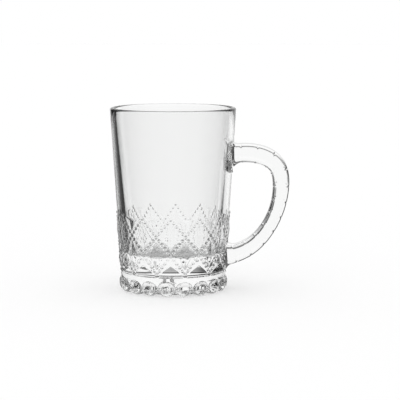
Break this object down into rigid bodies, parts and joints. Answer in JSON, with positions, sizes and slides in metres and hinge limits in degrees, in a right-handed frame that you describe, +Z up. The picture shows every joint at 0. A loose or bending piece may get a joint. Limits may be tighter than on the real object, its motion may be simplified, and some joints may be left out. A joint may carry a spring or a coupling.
{
  "type": "beer mug",
  "caption": "Tapered clear pressed-glass beer mug with a beaded diamond lattice, a foot of round beads and a thumb-cut side handle.",
  "frame": {"origin": "middle of the flat base that the mug stands on, on the bowl's axis", "axes": "+Z up along the bowl's axis, +X towards the handle"},
  "size_m": [0.1139, 0.08, 0.116],
  "materials": {
    "clear_glass": "polished"
  },
  "bodies": {
    "root": {"bowl": "clear_glass", "foot_ring": "clear_glass", "handle": "clear_glass"}
  },
  "joints": []
}
